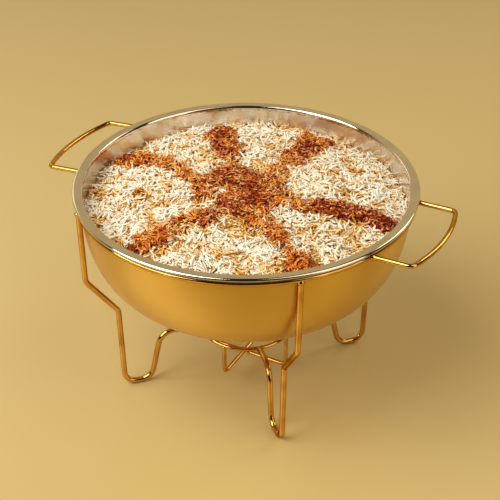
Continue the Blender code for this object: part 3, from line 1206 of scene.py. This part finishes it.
@dataclass
class Rice:
    """The rice: a packed core with thousands of loose grains on it.

    The core's sides start `skirt` below its top. A grain's stations are the places along it,
    from 0 to 1, where its section is set, and `swell` gives the width at those between the
    tips. The first shape has the share `shortest` of the length, and each further one the
    share `longer` more. The onions' oil tints the grains up to `halo` millimetres round them.
    """

    bed: RiceBed
    star: Star
    grain_length: float = 0.0112
    grain_width: float = 0.0027
    grain_flatness: float = 0.88
    shortest: float = 0.86
    longer: float = 0.05
    grain_bends: tuple[float, ...] = (-0.16, -0.07, 0.05, 0.10, 0.19, 0.0)
    stations: tuple[float, ...] = (0.0, 0.10, 0.36, 0.66, 0.90, 1.0)
    swell: tuple[float, ...] = (0.62, 0.98, 1.0, 0.66)
    sink: float = 0.0030
    wall_gap: float = 0.0006
    skirt: float = 0.030
    skirt_step: int = 3
    halo: float = 9.0
    rings: int = 64
    sectors: int = 200
    layers: tuple[GrainLayer, ...] = (
        # the bedded layer lies lower and takes the darker ramp, partly as painted shade
        GrainLayer("bedded", 86000, 3, 0.22, 0.0016, 0.55, CREAM_AND_SHADE_STOPS),
        GrainLayer("loose", 60000, 4, 0.66, 0.0040, 0.66, WHITE_STOPS),
    )

    def surface(self) -> tuple[list, list]:
        """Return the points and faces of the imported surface, from the middle out."""
        reach = self.bed.bowl.wall_radius - self.bed.bowl.thickness - self.wall_gap
        verts = []
        for number in range(self.rings + 1):
            around = ring(reach * number / self.rings, 0, self.sectors if number else 1)
            for x, y, _ in around:
                z = float(self.bed.dome(x, y)) - self.sink + self.bed.lumps(x, y)
                verts.append((x, y, z))
        return verts, skin(self.sectors, self.rings, inside_out=True, closed=False)

    def core(self) -> bpy.types.Object:
        """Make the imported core, down to the bottom of the bowl."""
        verts, faces = self.surface()
        inside = inward(self.bed.bowl.wall(), self.bed.bowl.thickness + HAIR)
        under = [point for point in inside
                 if point[1] < self.bed.peak - self.skirt][::self.skirt_step]
        edge = len(verts) - self.sectors
        for r, z in reversed(under[1:]):
            base = len(verts)
            verts += ring(r, z, self.sectors)
            for i in range(self.sectors):
                j = (i + 1) % self.sectors
                faces.append((edge + i, base + i, base + j, edge + j))
            edge = base
        verts.append((0, 0, under[0][1]))
        for i in range(self.sectors):
            faces.append((edge + i, len(verts) - 1, edge + (i + 1) % self.sectors))
        mesh = new_mesh(verts, faces)
        smooth(mesh, LUMPY_CREASE)
        mesh.materials.append(ShadedPackedRice().material())
        return add_piece("rice_core", mesh)

    def grain_shapes(self) -> bpy.types.Collection:
        """Return a few shapes of grain, each bent a little its own way."""
        shapes = bpy.data.collections.new("grain_shapes")
        half = self.grain_width / 2
        widths = [half * share for share in self.swell]
        heights = [width * self.grain_flatness for width in widths]
        for number, bend in enumerate(self.grain_bends):
            length = self.grain_length * (self.shortest + self.longer * number)
            path = []
            for station in self.stations:
                s = station - 0.5
                path.append(Vector((length * s, length * bend * (0.25 - s * s) * 2, 0)))
            mesh = sliver(path, widths, heights, 4)
            shapes.objects.link(bpy.data.objects.new(f"grain_{number}", mesh))
        return shapes

    def scatter_bed(self) -> bpy.types.Mesh:
        """Return the surface that the grains lie on, marked with where they go.

        Fewer lie under the onions. More are tinted near the onions, from their oil, and in the
        hollows, as painted shade; and grains are toned paler on the lumps and darker in the
        hollows, also as painted shade.
        """
        verts, faces = self.surface()
        mesh = new_mesh(verts, faces)
        x, y, z = read_points(mesh).T
        cover = self.star.cover(x, y)
        halo = self.star.cover(x, y, self.halo)
        relief = z - self.bed.dome(x, y) + self.sink
        # painted shade: the hollows get more tinted grains and darker tones, the lumps paler ones;
        # near the onions the tint is their oil
        mark_points(mesh, spread=1 - 0.75 * np.clip(cover * 1.6 - 0.6, 0, 1),
                    tint_bias=0.30 * np.clip(cover * 2.5, 0, 1) + 0.26 * halo - 90 * relief,
                    tone_bias=0.58 + 60 * relief)
        return mesh

    def build(self, scatter: Scatter, ceiling: float) -> None:
        """Make the core and every kind of grain."""
        install(self.core(), ["rice"])
        shapes = self.grain_shapes()
        for layer in self.layers:
            for tint, low, high, stops in (
                    ("white", -ANY_TINT, layer.parting, layer.pale),
                    ("tinted", layer.parting, ANY_TINT, TINTED_STOPS)):
                name = f"rice_{tint}_{layer.name}"
                piece = scatter.recipe.cook(
                    name, self.scatter_bed(), Density=layer.density, Seed=layer.seed,
                    Tint_Low=low, Tint_High=high, Tilt=layer.tilt, Lift=layer.lift, Flow=0.5,
                    Size_Low=0.80, Size_High=1.08, Tone_Spread=0.6, Tone_Blotch=2.6,
                    Tone_Rise=0.5, Patchiness=3.4, Shapes=shapes,
                    Material=CookedRice(name, stops).material())
                fill(piece, self.bed.bowl, ceiling, "rice")
        drop_shapes(shapes)


def keep_inside(mesh: bpy.types.Mesh, bowl: Bowl, ceiling: float,
                knee: float = 0.0022) -> None:
    """Press what would cross the bowl's wall, or the CAD model's top, back inside.

    Args:
        mesh: The mesh to press.
        bowl: The bowl that holds it.
        ceiling: The height that nothing may reach.
        knee: How far below the ceiling the pressing starts.
    """
    points = read_points(mesh)
    reach = np.hypot(points[:, 0], points[:, 1])
    limit = bowl.inside_radius(points[:, 2]) - HAIR
    shrink = np.minimum(1.0, limit / np.maximum(reach, 1e-6))
    points[:, 0] *= shrink
    points[:, 1] *= shrink
    over = np.maximum(points[:, 2] - (ceiling - knee), 0)
    points[:, 2] += knee * (1 - np.exp(-over / knee)) - over
    write_points(mesh, points)


def fill(piece: bpy.types.Object, bowl: Bowl, ceiling: float, node: str) -> None:
    """Keep a piece inside the bowl and put it in the place of a CAD node."""
    keep_inside(piece.data, bowl, ceiling)
    install(piece, [node])


def drop_shapes(shapes: bpy.types.Collection) -> None:
    """Remove the shapes that were only there to be scattered."""
    for shape in list(shapes.objects):
        mesh = shape.data
        bpy.data.objects.remove(shape)
        bpy.data.meshes.remove(mesh)
    bpy.data.collections.remove(shapes)


# ---------------------------------------------------------------- the fried onions

# The peach top ends serve the painted highlight on the shreds' tops as well as the palest shreds.
ONION_LIGHT = ((0.0, (0.40, 0.05, 0.003)), (0.3, (0.70, 0.17, 0.010)),
               (0.65, (0.91, 0.34, 0.035)), (1.0, (0.98, 0.60, 0.20)))
ONION_DARK = ((0.0, (0.10, 0.004, 0.001)), (0.35, (0.32, 0.028, 0.002)),
              (0.7, (0.70, 0.15, 0.015)), (1.0, (0.96, 0.56, 0.26)))


@dataclass
class FriedOnions:
    """The star of fried onions: a thin core with curly shreds heaped on it."""

    bed: RiceBed
    star: Star
    cell: float = 0.003
    thickness: float = 0.0034
    margin: float = 0.006
    sink: float = 0.0018
    lump: float = 0.0022
    lump_width: float = 0.008
    core_thickness: float = 0.0012
    shred_kinds: int = 10
    first_seed: int = 40
    shred_steps: int = 6
    shred_length: float = 0.013
    shred_half_width: float = 0.0011
    shred_half_height: float = 0.0004
    parting: float = 0.62

    def surface(self, least: float) -> bpy.types.Mesh:
        """Return the top of the thin core, marked with how thick and dark the shreds lie.

        Args:
            least: The cover below which there is none.

        Returns:
            An open mesh.
        """
        reach = self.bed.bowl.wall_radius - self.margin
        steps = np.arange(-reach, reach + self.cell, self.cell)
        x, y = np.meshgrid(steps, steps)
        cover = self.star.cover(x, y)
        cover[np.hypot(x, y) > reach] = 0
        count = len(steps)
        used = np.where(cover > least)
        index = -np.ones((count, count), int)
        index[used] = np.arange(len(used[0]))
        z = self.bed.dome(x, y) - self.sink + self.thickness * cover
        verts = []
        for at in zip(*used):
            lump = self.lump * noise.noise(Vector((x[at], y[at], 4.0)) / self.lump_width)
            verts.append((x[at], y[at], z[at] + lump * cover[at]))
        faces = []
        for row in range(count - 1):
            for column in range(count - 1):
                quad = (index[row, column], index[row, column + 1],
                        index[row + 1, column + 1], index[row + 1, column])
                if min(quad) >= 0:
                    faces.append(tuple(int(q) for q in quad))
        mesh = new_mesh(verts, faces)
        cover = cover[used]
        roast = self.star.roast(x[used], y[used])
        mark_points(mesh, spread=np.clip(cover * 1.3, 0, 1),
                    tint_bias=0.9 * roast - 0.40 + 0.25 * cover,
                    tone_bias=0.74 - 0.20 * cover - 0.15 * roast)
        return mesh

    def core(self, finish: bpy.types.Material) -> bpy.types.Object:
        """Make the thin closed core under the shreds."""
        bm = bmesh.new()
        bm.from_mesh(self.surface(0.3))
        loose = [vert for vert in bm.verts if not vert.link_faces]
        bmesh.ops.delete(bm, geom=loose, context="VERTS")
        shell = bmesh.ops.extrude_face_region(bm, geom=list(bm.faces), use_keep_orig=True)
        moved = [part for part in shell["geom"] if isinstance(part, bmesh.types.BMVert)]
        for vert in moved:
            vert.co.z += self.core_thickness
        bmesh.ops.recalc_face_normals(bm, faces=bm.faces)
        mesh = bpy.data.meshes.new("onion_core")
        bm.to_mesh(mesh)
        bm.free()
        smooth(mesh, LUMPY_CREASE)
        mesh.materials.append(finish)
        return add_piece("onion_core", mesh)

    def shred_shapes(self) -> bpy.types.Collection:
        """Return a few curly shreds, each a ribbon that wanders and thins to its tips."""
        shapes = bpy.data.collections.new("shred_shapes")
        steps = self.shred_steps
        for number in range(self.shred_kinds):
            rng = Random(self.first_seed + number)
            length = self.shred_length * rng.uniform(0.6, 1.3)
            curl = rng.choice((-1, 1)) * math.radians(rng.uniform(150, 420)) / steps
            heading, slope = 0.0, rng.uniform(-0.3, 0.3)
            point = Vector()
            path = [point.copy()]
            for _ in range(steps):
                heading += curl * rng.uniform(0.5, 1.5)
                slope += rng.uniform(-0.35, 0.35)
                point += Vector((math.cos(heading) * math.cos(slope),
                                 math.sin(heading) * math.cos(slope),
                                 math.sin(slope))) * length / steps
                path.append(point.copy())
            middle = sum(path, Vector()) / len(path)
            path = [place - middle for place in path]
            widths = [self.shred_half_width * rng.uniform(0.6, 1.4)
                      for _ in range(steps - 1)]
            heights = [self.shred_half_height * rng.uniform(0.7, 1.4)
                       for _ in range(steps - 1)]
            mesh = sliver(path, widths, heights, 4)
            shapes.objects.link(bpy.data.objects.new(f"shred_{number}", mesh))
        return shapes

    def build(self, scatter: Scatter, rice: Rice, ceiling: float) -> None:
        """Make the core, both kinds of shred and the crumbs on the rice."""
        light = FriedOnion("onion_golden", ONION_LIGHT).material()
        dark = FriedOnion("onion_dark", ONION_DARK).material()
        bowl = self.bed.bowl
        fill(self.core(dark), bowl, ceiling, "fried_onions")
        shapes = self.shred_shapes()
        for name, low, high, finish in (
                ("onion_shreds_golden", -ANY_TINT, self.parting, light),
                ("onion_shreds_dark", self.parting, ANY_TINT, dark)):
            shreds = scatter.recipe.cook(
                name, self.surface(0.02), Density=290000.0, Seed=21, Tint_Low=low,
                Tint_High=high, Tilt=0.8, Lift=0.0036, Flow=0.15, Size_Low=0.7,
                Size_High=1.15, Tone_Spread=1.1, Tone_Blotch=1.8, Tone_Rise=0.4,
                Patchiness=1.5, Shapes=shapes, Material=finish)
            fill(shreds, bowl, ceiling, "fried_onions")
        crumbs = scatter.recipe.cook(
            "onion_crumbs", rice.scatter_bed(), Density=14000.0, Seed=31, Tint_Low=0.3,
            Tint_High=ANY_TINT, Tilt=0.9, Lift=0.0056, Flow=0.0, Size_Low=0.15, Size_High=0.40,
            Tone_Spread=0.8, Tone_Blotch=0.0, Tone_Rise=-0.4, Patchiness=2.0, Shapes=shapes,
            Material=dark)
        fill(crumbs, bowl, ceiling, "fried_onions")
        drop_shapes(shapes)


# ---------------------------------------------------------------- the studio


@dataclass(frozen=True)
class Lamp:
    """A soft light, placed by its bearing clockwise from the camera's own."""

    name: str
    bearing: float
    elevation: float
    distance: float
    width: float
    height: float
    power: float
    colour: Colour


@dataclass
class Studio:
    """A plain pale floor, soft lights and the camera."""

    azimuth: float = 28.86
    target: Vector = field(default_factory=lambda: Vector((0.0035, 0.0020, 0.1533)))
    camera_place: Vector = field(
        default_factory=lambda: Vector((0.5385, -0.9771, 0.8935)))
    lens: float = 89.55
    clip: tuple[float, float] = (0.05, 50.0)
    lit_spot: Vector3 = (0, 0, 0.15)
    floor_size: float = 12.0
    backdrop: Colour = (0.52, 0.40, 0.21)
    dark: Colour = (0.024, 0.020, 0.015)
    lamps: tuple[Lamp, ...] = (
        Lamp("key", 294, 48, 2.2, 1.6, 2.3, 54, (1.0, 0.97, 0.91)),
        Lamp("fill", 58, 42, 2.4, 1.4, 3.4, 22, (1.0, 0.91, 0.72)),
        Lamp("side", 216, 24, 2.2, 0.9, 0.9, 2, (1.0, 0.96, 0.88)),
        Lamp("edge", 117, 36, 2.2, 0.6, 1.2, 7, (1.0, 0.94, 0.82)),
    )

    def aim(self, thing: bpy.types.Object, place: Vector, target: Vector) -> None:
        """Put a lamp or camera at a place, looking at a target."""
        thing.location = place
        thing.rotation_euler = (target - place).to_track_quat("-Z", "Y").to_euler()
        bpy.context.scene.collection.objects.link(thing)

    def room(self) -> None:
        """Make the surroundings: a pale backdrop behind, and an unlit room elsewhere."""
        world = bpy.data.worlds.new("studio")
        world.use_nodes = True
        room = Bench(world.node_tree)
        look = room.node("ShaderNodeTexCoord", out="Generated")
        height = room.node("ShaderNodeSeparateXYZ", None, {0: look}, out="Z")
        turn = math.radians(self.azimuth)
        behind = room.node("ShaderNodeVectorMath", {"operation": "DOT_PRODUCT"},
                           {0: look, 1: (-math.sin(turn), math.cos(turn), 0)}, out="Value")
        wall = behind.ease(0.0, 0.4) * (1 - height.ease(0.70, 0.84))
        colour = room.node("ShaderNodeMix", {"data_type": "RGBA"},
                           {0: wall, 1: (*self.dark, 1), 2: (*self.backdrop, 1)})
        room.tree.links.new(colour.socket, world.node_tree.nodes["Background"].inputs["Color"])
        bpy.context.scene.world = world

    def build(self) -> None:
        """Make the floor, the lights and the camera."""
        half = self.floor_size / 2
        floor = add_piece("floor", new_mesh(
            [(x * half, y * half, 0) for x, y in ((-1, -1), (1, -1), (1, 1), (-1, 1))],
            [(0, 1, 2, 3)]))
        floor.data.materials.append(StudioFloor().material())
        for lamp in self.lamps:
            data = bpy.data.lights.new(lamp.name, "AREA")
            data.shape = "RECTANGLE"
            data.size, data.size_y = lamp.width, lamp.height
            data.energy, data.color = lamp.power, lamp.colour
            turn = math.radians(self.azimuth + lamp.bearing)
            rise = math.radians(lamp.elevation)
            place = Vector((math.sin(turn) * math.cos(rise), -math.cos(turn) * math.cos(rise),
                            math.sin(rise))) * lamp.distance
            self.aim(bpy.data.objects.new(lamp.name, data), place,
                     Vector(self.lit_spot))
        self.room()
        camera = bpy.data.objects.new("camera", bpy.data.cameras.new("camera"))
        camera.data.lens = self.lens
        camera.data.clip_start, camera.data.clip_end = self.clip
        self.aim(camera, self.camera_place, self.target)
        bpy.context.scene.camera = camera
        bpy.context.scene.view_settings.view_transform = "Standard"


# ---------------------------------------------------------------- putting it together


def main() -> None:
    """Build every sub-assembly in order."""
    logging.basicConfig(level=logging.INFO, format="%(message)s")
    ceiling = CAD_BOX[1].z - HAIR / 4
    bowl = Bowl()
    bowl.build()
    Stand(WireBender()).build()
    bed = RiceBed(bowl)
    star = Star()
    scatter = Scatter("scatter")
    rice = Rice(bed, star)
    rice.build(scatter, ceiling)
    FriedOnions(bed, star).build(scatter, rice, ceiling)
    Studio().build()


if __name__ == "__main__":
    main()
